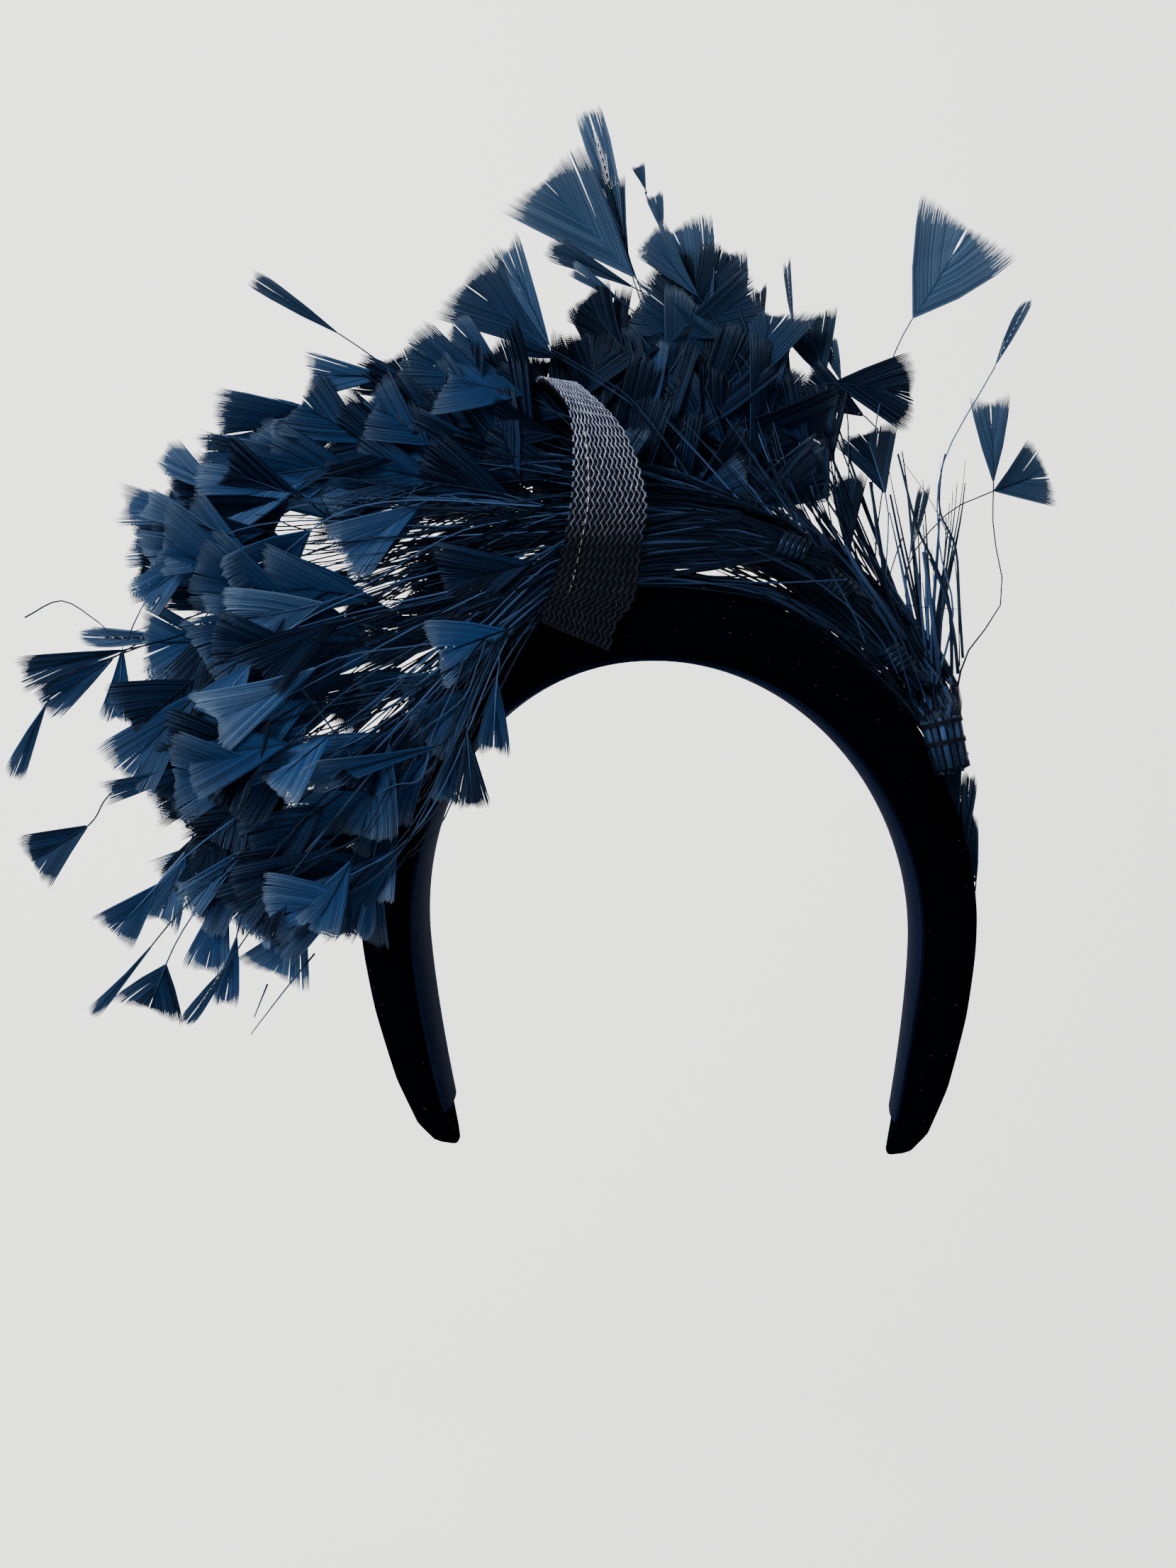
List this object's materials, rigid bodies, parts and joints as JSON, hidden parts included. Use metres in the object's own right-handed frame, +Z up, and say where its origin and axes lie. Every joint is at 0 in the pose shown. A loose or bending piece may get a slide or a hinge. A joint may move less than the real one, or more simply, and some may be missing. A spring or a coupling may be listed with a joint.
{
  "type": "fascinator",
  "caption": "Fascinator: a padded velvet headband with bunches of stripped, fan-tipped feathers gathered on its side under a woven strap.",
  "frame": {"origin": "middle of the headband's underside at the top of its arch, where it sits on the crown of the head", "axes": "+X to the wearer's left, which is the right of the front view, -Y to the front, +Z up as worn"},
  "size_m": [0.2939, 0.1512, 0.332],
  "materials": {
    "velvet_dark_navy": "velvet",
    "velvet_navy": "velvet",
    "braid_blue_grey": "open woven braid",
    "feather_navy_1": "feather",
    "feather_navy_2": "feather",
    "feather_navy_3": "feather",
    "feather_navy_4": "feather",
    "trim_navy": "feather",
    "thread_black": "thread",
    "quill_navy": "satin quill"
  },
  "bodies": {
    "root": {"headband": "velvet_dark_navy", "inner_facing": "velvet_navy", "gathering_strap": "braid_blue_grey", "feather_bunch_1": "feather_navy_1", "feather_bunch_2": "feather_navy_2", "feather_bunch_3": "feather_navy_3", "feather_bunch_4": "feather_navy_4", "thread_row_1": "thread_black", "thread_row_2": "thread_black", "wound_quill_2": "quill_navy", "wound_quill_3": "quill_navy", "wound_quill_4": "quill_navy", "end_trim": "trim_navy"}
  },
  "joints": []
}
